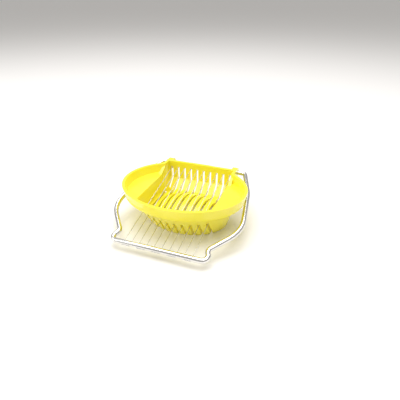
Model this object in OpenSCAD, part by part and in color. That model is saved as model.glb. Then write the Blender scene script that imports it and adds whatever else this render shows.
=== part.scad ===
// Egg slicer, lying closed and upside down on the rim of its egg cradle.
// Millimetres. X runs along the hinge, Y towards the hinge, Z up from the surface it lies on.
// Turned over, it stands on the rim of the base, and the harp lifts off the egg.

/* [Cutting wires] */
// Number of cutting wires
wire_count = 10; // [10:1:10]
// Distance from one wire to the next
wire_pitch = 5; // [4.6:0.1:5.4]
// Diameter of the steel wire
wire_d = 0.45; // [0.3:0.05:0.6]
// Room round a wire in its hole through the bars
wire_hole_gap = 0.06; // [0.03:0.01:0.1]

/* [Base] */
// Width of the oval base across its rim
base_w = 84.4; // [76:0.2:96]
// Depth of the whole oval, before the hinge side is cut straight
base_d = 67; // [60:0.5:76]
// Height of the base from the cradle's rim to its own rim
base_h = 28.2; // [26:0.2:34]
// Height of the skirt round the oval
skirt_h = 7.3; // [6:0.1:9]
// How far the skirt leans out over its height
skirt_draft = 1.4; // [0.6:0.1:2.5]
// Thickness of the moulded walls
wall = 1.8; // [1.4:0.1:2.2]
// Distance from the oval's centre to the inner face of the hinge wall
hinge_wall_y = 31; // [29:0.5:32]
// Thickness of the hinge wall
hinge_wall_t = 2; // [1.6:0.1:2.6]

/* [Egg cradle] */
// Length of the cradle's rim
cradle_w = 58; // [54:0.5:62]
// Width of the cradle's rim
cradle_d = 43; // [40:0.5:45]
// How far each end wall of the cradle leans out
cradle_end_lean = 7; // [5:0.5:8]
// How far the cradle's front wall leans out
cradle_front_lean = 13; // [11:0.5:14]
// How far the cradle sits from the oval's centre, towards the hinge
cradle_y = 5; // [4:0.5:6]
// Length of the hollow for the egg
hollow_l = 54; // [50:0.5:55]
// Width of the hollow for the egg
hollow_w = 39; // [36:0.5:40]
// Depth of the hollow for the egg
hollow_depth = 12; // [10:0.5:13]

/* [Slots] */
// Width of a wire slot
slot_w = 1.6; // [1.2:0.1:2]
// Height of the slots above the closed wires
slot_over = 0.6; // [0.4:0.1:1]

/* [Harp] */
// Diameter of the bent rod
rod_d = 3.4; // [3:0.1:3.6]
// Distance from the hinge to the middle of the front bar
harp_l = 81.7; // [78:0.5:90]
// Width of the front bar between its corners
bar_w = 66; // [64:0.2:70]
// Width of the harp where it goes round the base, between its corners
harp_w = 89; // [87:0.2:98]
// Angle of the closed harp below the base's plane
closed_tilt = 13.1; // [12.6:0.1:14]

/* [Hinge] */
// Distance from the hinge wall's inner face to the hinge
hinge_back = 5; // [4.5:0.1:7]
// Depth of the hinge below the rim of the base
hinge_drop = 3.8; // [3.4:0.1:5]
// Thickness of each hinge ear
ear_t = 3.8; // [3:0.1:5]
// Diameter of the bar through the ears
axle_d = 3; // [2.6:0.1:3.4]
// Running clearance round that bar, on the radius
hinge_gap = 0.07; // [0.03:0.01:0.1]

/* [Hidden] */
$fn = 96;
eps = 0.2;

skirt_z = base_h - skirt_h;            // lower edge of the skirt
floor_z = skirt_z + wall;              // upper face of the wing floors
well_w = (wire_count - 1) * wire_pitch + 5; // width of the deep well between the wings
block_w = well_w + 2 * wall;           // width of the straight hinge side
back_y = hinge_wall_y + hinge_wall_t;  // outer face of the hinge wall
hinge_y = hinge_wall_y + hinge_back;
hinge_z = base_h - hinge_drop;
ear_r = hinge_drop - 0.4;
rod_r = rod_d / 2;
axle_r = axle_d / 2;
wire_r = wire_d / 2;
well_floor_z = 15;                     // where the well's floor meets the hinge wall
groove_z = 9;                          // floor of the groove round the hollow
gusset_l = 13;                         // length of each sloping web beside the well
slope_y = 24;                          // where the well's floor starts to rise to the hinge wall
front_y = hinge_y - harp_l * cos(closed_tilt) - rod_r; // foremost point of the front bar
shift_y = -(front_y + hinge_y + ear_r) / 2; // puts the origin under the middle of the whole

function wire_x(i) = (i - (wire_count + 1) / 2) * wire_pitch;

// --- helpers -----------------------------------------------------------------------------

module oval(w, d, y, z) {
  translate([0, y, z]) linear_extrude(eps) scale([1, d / w]) circle(d = w);
}

// A solid of the given width along X, from points in the Y-Z plane.
module side_prism(width, points) {
  translate([-width / 2, 0, 0]) rotate([90, 0, 90]) linear_extrude(width) polygon(points);
}

// The skirt's outside, or its hollow when cut is the wall's thickness.
module skirt_body(cut, z1, z2) {
  hull() {
    oval(base_w - 2 * skirt_draft - 2 * cut, base_d - 2 * skirt_draft - 2 * cut, 0, z1);
    oval(base_w - 2 * cut, base_d - 2 * cut, 0, z2 - eps);
  }
}

// The cradle's outside, or the room inside it: upright at the back, leaning out at the front and ends.
module cradle_body(cut, z, top) {
  top_d = cradle_d + cradle_front_lean;
  hull() {
    oval(cradle_w - 2 * cut, cradle_d - 2 * cut, cradle_y, z);
    oval(cradle_w + 2 * cradle_end_lean - 2 * cut, top_d - 2 * cut, cradle_y - cradle_front_lean / 2, skirt_z + 1);
    oval(cradle_w + 2 * cradle_end_lean - 2 * cut, top_d - 2 * cut, cradle_y - cradle_front_lean / 2, top);
  }
}

module hollow_body(grow) {
  translate([0, cradle_y, 0])
    scale([hollow_l / 2 + grow, hollow_w / 2 + grow, hollow_depth + grow]) sphere(r = 1, $fn = 64);
}

module in_harp() {
  translate([0, hinge_y, hinge_z]) rotate([closed_tilt, 0, 0]) children();
}

// --- base --------------------------------------------------------------------------------

module block_body() {
  side_prism(block_w, [
    [hinge_wall_y - gusset_l, skirt_z + 0.6], [slope_y - 3, groove_z - wall], [slope_y + 0.5, groove_z - wall],
    [back_y, well_floor_z - wall], [back_y, base_h - 0.15], [hinge_wall_y - gusset_l, base_h - 0.15]
  ]);
}

module gusset(side) {
  hull() translate([side * ((well_w + wall) / 2 - 0.45), 0, 0])
    side_prism(wall + 1.1, [
      [hinge_wall_y - gusset_l - 1, floor_z - 1], [hinge_wall_y - gusset_l - 1, floor_z - 0.3],
      [hinge_wall_y - 2, base_h + 1], [hinge_wall_y + 1, base_h + 1], [hinge_wall_y + 1, floor_z - 1]
    ]);
}

module tray_hollow() {
  difference() {
    skirt_body(wall, floor_z, base_h + 0.5);
    translate([-base_w, hinge_wall_y, 0]) cube([2 * base_w, base_d, 2 * base_h]);
    gusset(-1);
    gusset(1);
  }
}

module well() {
  difference() {
    union() {
      intersection() {
        cradle_body(wall, groove_z - 4, base_h + 2);
        side_prism(well_w, [
          [slope_y, base_h + 1], [slope_y, groove_z], [-base_d, groove_z], [-base_d, base_h + 1]
        ]);
      }
      side_prism(well_w, [
        [hinge_wall_y, base_h + 1], [hinge_wall_y, well_floor_z], [slope_y, groove_z],
        [slope_y - 4, groove_z], [hinge_wall_y - gusset_l - 1, floor_z + 0.5],
        [hinge_wall_y - gusset_l - 1, base_h + 1]
      ]);
    }
    hollow_body(wall);
  }
}

// Room for one wire, from below, up to a little above it.
module slot(i) {
  from = -base_d;
  to = back_y + 1;
  slope = tan(closed_tilt - 1.2);
  top = hinge_z + slot_over;
  hull() translate([wire_x(i), 0, 0])
    side_prism(slot_w, [
      [from, -1], [to, -1], [to, top + (to - hinge_y) * slope], [from, top + (from - hinge_y) * slope]
    ]);
}

module base() color("gold")
  difference() {
    union() {
      skirt_body(0, skirt_z, base_h);
      cradle_body(0, 0, skirt_z + 1);
      block_body();
    }
    translate([-base_w, back_y, -1]) cube([2 * base_w, base_d, 2 * base_h]);
    tray_hollow();
    well();
    hollow_body(0);
    for (i = [1 : wire_count]) slot(i);
  }

module ear(side) color("gold")
  translate([side * (block_w - ear_t) / 2 - ear_t / 2, 0, 0]) rotate([90, 0, 90])
    linear_extrude(ear_t) difference() {
      union() {
        translate([hinge_y, hinge_z]) circle(r = ear_r);
        translate([back_y, hinge_z - ear_r]) square([hinge_y - back_y, 2 * ear_r]);
      }
      translate([hinge_y, hinge_z]) circle(r = axle_r + hinge_gap);
      translate([back_y - 10, 0]) square([10, 2 * base_h]);
    }

// --- harp --------------------------------------------------------------------------------

// Corners of the harp from one end of the rear bar round to the other: [x, distance, radius].
half_path = [
  [block_w / 2 + 1.4, 0, 0],
  [block_w / 2 + 5.4, 0, 3],
  [harp_w / 2 - 5, 20, 25],
  [harp_w / 2, 54, 22],
  [bar_w / 2 - 3.8, harp_l - 8.1, 3.5],
  [bar_w / 2, harp_l, 3.5]
];
last = 2 * len(half_path) - 1;
function corner(k) = k < len(half_path) ? half_path[k] :
  [-half_path[last - k][0], half_path[last - k][1], half_path[last - k][2]];

function unit(v) = v / norm(v);
function spot(k) = [corner(k)[0], corner(k)[1]];
function turn_in(k) = unit(spot(k) - spot(k - 1));
function turn_out(k) = unit(spot(k + 1) - spot(k));
function turn_angle(k) = acos(turn_in(k) * turn_out(k));
function setback(k) = corner(k)[2] == 0 ? 0 : corner(k)[2] * tan(turn_angle(k) / 2);
function turn_side(k) = sign(turn_in(k)[0] * turn_out(k)[1] - turn_in(k)[1] * turn_out(k)[0]);
function heading(v) = atan2(v[1], v[0]);

// A straight length of rod in the harp's own plane.
module rod_run(from, to, r) {
  translate([from[0], from[1], 0]) rotate([0, 0, heading(to - from)]) rotate([0, 90, 0])
    cylinder(r = r, h = norm(to - from));
}

// The bend at corner k, as part of a ring.
module rod_bend(k) {
  bend_r = corner(k)[2];
  start = spot(k) - turn_in(k) * setback(k);
  side = turn_side(k);
  middle = start + side * bend_r * [-turn_in(k)[1], turn_in(k)[0]];
  first = heading(start - middle);
  translate([middle[0], middle[1], 0])
    rotate([0, 0, side > 0 ? first : first - turn_angle(k)])
      rotate_extrude(angle = turn_angle(k)) translate([bend_r, 0]) circle(r = rod_r);
}

// Holes for the wires through a bar at the given distance from the hinge.
module wire_holes(distance, bar_r) {
  for (i = [1 : wire_count])
    translate([wire_x(i), distance, 0]) rotate([90, 0, 0])
      cylinder(r = wire_r + wire_hole_gap, h = 2 * bar_r + 2, center = true);
}

module harp_frame($fn = 36) color("silver") in_harp() mirror([0, 1, 0])
  difference() {
    union() {
      for (k = [1 : last - 1]) rod_bend(k);
      for (k = [0 : last - 1])
        hull() rod_run(spot(k) + turn_out(k) * (k == 0 ? 0 : setback(k) - 0.1),
                       spot(k + 1) - turn_out(k) * (k + 1 == last ? 0 : setback(k + 1) - 0.1),
                       rod_r + 0.02);
    }
    wire_holes(harp_l, rod_r);
  }

module rear_bar() color("silver") in_harp()
  difference() {
    rotate([0, 90, 0]) cylinder(r = axle_r, h = block_w + 2.8, center = true);
    wire_holes(0, axle_r);
  }

module cutting_wire(i) color("lightgray") in_harp() mirror([0, 1, 0])
  rod_run([wire_x(i), -axle_r], [wire_x(i), harp_l + rod_r], wire_r);

// The wire's run along the outside of a bar, from hole i to the next.
module lace(i, y)
  rod_run([wire_x(i) - wire_r, y], [wire_x(i + 1) + wire_r, y], wire_r);

module front_lacing() color("lightgray") in_harp() mirror([0, 1, 0])
  for (i = [1 : 2 : wire_count - 1]) lace(i, harp_l + rod_r + wire_r);

module rear_lacing() color("lightgray") in_harp() mirror([0, 1, 0])
  for (i = [2 : 2 : wire_count - 1]) lace(i, -axle_r - wire_r);

// --- output ------------------------------------------------------------------------------

module in_place() { translate([0, shift_y, 0]) children(); }

in_place() base();
in_place() ear(-1);  // hinge_ear_left
in_place() ear(1);  // hinge_ear_right
in_place() harp_frame();
in_place() rear_bar();
in_place() cutting_wire(1);  // cutting_wire_01
in_place() cutting_wire(2);  // cutting_wire_02
in_place() cutting_wire(3);  // cutting_wire_03
in_place() cutting_wire(4);  // cutting_wire_04
in_place() cutting_wire(5);  // cutting_wire_05
in_place() cutting_wire(6);  // cutting_wire_06
in_place() cutting_wire(7);  // cutting_wire_07
in_place() cutting_wire(8);  // cutting_wire_08
in_place() cutting_wire(9);  // cutting_wire_09
in_place() cutting_wire(10);  // cutting_wire_10
in_place() front_lacing();
in_place() rear_lacing();
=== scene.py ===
import bpy
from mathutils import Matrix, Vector

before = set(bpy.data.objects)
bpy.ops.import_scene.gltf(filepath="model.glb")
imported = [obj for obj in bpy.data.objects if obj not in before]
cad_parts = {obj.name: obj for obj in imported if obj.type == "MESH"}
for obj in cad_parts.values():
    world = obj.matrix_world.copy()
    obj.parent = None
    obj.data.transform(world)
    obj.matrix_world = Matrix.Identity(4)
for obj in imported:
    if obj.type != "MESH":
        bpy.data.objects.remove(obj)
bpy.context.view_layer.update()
print("frame loaded")

plasticLook = {"colour": (0.97, 0.84, 0.03, 1), "paler": (0.98, 0.89, 0.07, 1), "roughness": 0.2,
               "cloudScale": 70, "moldGrain": 2600, "scratchScale": 420, "bump": 0.04,
               "scratchRoughness": 0.12, "cloudRoughness": 0.06, "coat": 0.35, "coatRoughness": 0.08,
               "ior": 1.49, "lightDepth": 0.12, "lightReach": (0.004, 0.003, 0.0006)}
chromeLook = {"colour": (0.86, 0.85, 0.83, 1), "duller": (0.66, 0.64, 0.60, 1), "roughness": 0.1,
              "streakScale": 900, "bump": 0.08}
wireLook = {"colour": (0.70, 0.69, 0.67, 1), "duller": (0.52, 0.51, 0.49, 1), "roughness": 0.22,
            "streakScale": 3000, "bump": 0.12}
bumpDepth = 0.0001  # metres
floorLook = {"colour": (0.93, 0.91, 0.89, 1), "size": 60.0, "roughness": 0.7}
lampLooks = {"overheadSoftbox": {"place": (0.0, 0.05, 0.75), "size": 0.8, "power": 6.5},
             "leftFill": {"place": (-0.6, -0.35, 0.45), "size": 0.6, "power": 2.2}}
worldLook = {"colour": (0.95, 0.94, 0.92, 1), "strength": 0.5}
cameraLook = {"place": (0.0828, -0.1900, 0.1411), "aim": (0.0005, 0.0319, 0.0), "lens": 32.6,
              "sensor": 36, "nearest": 0.005}


# Arithmetic on a node's output, written as plain expressions.
class Sock:
    def __init__(self, mat, socket):
        self.mat, self.socket = mat, socket

    def calc(self, operation, other, flip=False):
        node = self.mat.nodes.new("ShaderNodeMath")
        node.operation = operation
        for i, value in enumerate((other, self) if flip else (self, other)):
            if isinstance(value, Sock):
                self.mat.links.new(value.socket, node.inputs[i])
            else:
                node.inputs[i].default_value = value
        return Sock(self.mat, node.outputs[0])

    def __add__(self, other): return self.calc("ADD", other)
    def __radd__(self, other): return self.calc("ADD", other, True)
    def __sub__(self, other): return self.calc("SUBTRACT", other)
    def __rsub__(self, other): return self.calc("SUBTRACT", other, True)
    def __mul__(self, other): return self.calc("MULTIPLY", other)
    def __rmul__(self, other): return self.calc("MULTIPLY", other, True)


class Finish:
    def __init__(self, name):
        self.material = bpy.data.materials.new(name)
        self.material.use_nodes = True
        self.nodes, self.links = self.material.node_tree.nodes, self.material.node_tree.links
        self.shader = self.nodes["Principled BSDF"]

    def node(self, kind, out, settings=(), **values):
        made = self.nodes.new(kind)
        for key, value in dict(settings).items():
            setattr(made, key, value)
        for key, value in values.items():
            target = made.inputs[key]
            if isinstance(value, Sock):
                self.links.new(value.socket, target)
            else:
                target.default_value = value
        return Sock(self, made.outputs[out])

    def place(self, stretch=(1, 1, 1)):
        place = self.node("ShaderNodeTexCoord", "Object")
        return self.node("ShaderNodeMapping", "Vector", Vector=place, Scale=stretch)

    def noise(self, place, scale, detail=3):
        return self.node("ShaderNodeTexNoise", "Fac", Vector=place, Scale=scale, Detail=detail)

    def mix(self, factor, first, second):
        made = self.nodes.new("ShaderNodeMix")
        made.data_type = "RGBA"
        self.links.new(factor.socket, made.inputs[0])
        made.inputs[6].default_value = first
        made.inputs[7].default_value = second
        return Sock(self, made.outputs[2])

    def drive(self, name, value):
        if isinstance(value, Sock):
            self.links.new(value.socket, self.shader.inputs[name])
        else:
            self.shader.inputs[name].default_value = value


def makePlastic(look):
    finish = Finish("yellowPlastic")
    place = finish.place()
    cloud = finish.noise(place, look["cloudScale"])
    grain = finish.noise(place, look["moldGrain"], 2)
    scratch = finish.noise(finish.place((1, 0.08, 1)), look["scratchScale"], 5)
    finish.drive("Base Color", finish.mix(cloud, look["colour"], look["paler"]))
    finish.drive("Roughness", look["roughness"] + (scratch - 0.5) * look["scratchRoughness"]
                 + (cloud - 0.5) * look["cloudRoughness"])
    height = grain * 0.4 + scratch * 0.6
    finish.drive("Normal", finish.node("ShaderNodeBump", "Normal", Strength=look["bump"], Distance=bumpDepth,
                                       Height=height))
    finish.drive("Coat Weight", look["coat"])
    finish.drive("Coat Roughness", look["coatRoughness"])
    finish.drive("IOR", look["ior"])
    finish.drive("Subsurface Weight", look["lightDepth"])
    finish.drive("Subsurface Radius", look["lightReach"])
    finish.drive("Subsurface Scale", 1.0)
    return finish.material


def makeMetal(name, look):
    finish = Finish(name)
    streak = finish.noise(finish.place((0.15, 1, 1)), look["streakScale"], 4)
    spots = finish.noise(finish.place(), look["streakScale"] * 0.2, 5)
    finish.drive("Base Color", finish.mix(streak * 0.5 + spots * 0.5, look["colour"], look["duller"]))
    finish.drive("Metallic", 1.0)
    finish.drive("Roughness", look["roughness"] + spots * 0.12)
    finish.drive("Normal", finish.node("ShaderNodeBump", "Normal", Strength=look["bump"], Distance=bumpDepth,
                                       Height=streak))
    return finish.material


def dress(node, material):
    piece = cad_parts[node]
    piece.data.materials.clear()
    piece.data.materials.append(material)


plastic = makePlastic(plasticLook)
chrome = makeMetal("polishedRod", chromeLook)
steel = makeMetal("drawnWire", wireLook)
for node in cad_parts:
    if node.startswith(("base", "hinge_ear")):
        dress(node, plastic)
    elif node in ("harp_frame", "rear_bar"):
        dress(node, chrome)
    else:
        dress(node, steel)
print("finishes made")


def makeFloor(look):
    bpy.ops.object.select_all(action="DESELECT")
    bpy.ops.mesh.primitive_plane_add(size=look["size"], location=(0, 0, 0))
    floor = bpy.context.object
    floor.name = "tabletop"
    finish = Finish("paleTable")
    finish.drive("Base Color", look["colour"])
    finish.drive("Roughness", look["roughness"])
    floor.data.materials.append(finish.material)


def makeLamp(name, look):
    place = Vector(look["place"])
    bpy.ops.object.light_add(type="AREA", location=place)
    lamp = bpy.context.object
    lamp.name = name
    lamp.data.size = look["size"]
    lamp.data.energy = look["power"]
    lamp.rotation_euler = (-place).to_track_quat("-Z", "Y").to_euler()


makeFloor(floorLook)
for name, look in lampLooks.items():
    makeLamp(name, look)
world = bpy.data.worlds.new("studio")
bpy.context.scene.world = world
world.use_nodes = True
sky = world.node_tree.nodes["Background"]
sky.inputs["Color"].default_value = worldLook["colour"]
sky.inputs["Strength"].default_value = worldLook["strength"]

bpy.ops.object.camera_add(location=cameraLook["place"])
camera = bpy.context.object
camera.data.lens = cameraLook["lens"]
camera.data.sensor_width = cameraLook["sensor"]
camera.data.clip_start = cameraLook["nearest"]
camera.rotation_euler = (Vector(cameraLook["aim"]) - camera.location).to_track_quat("-Z", "Y").to_euler()
bpy.context.scene.camera = camera
bpy.context.scene.view_settings.view_transform = "Standard"
print("camera and lamps set")
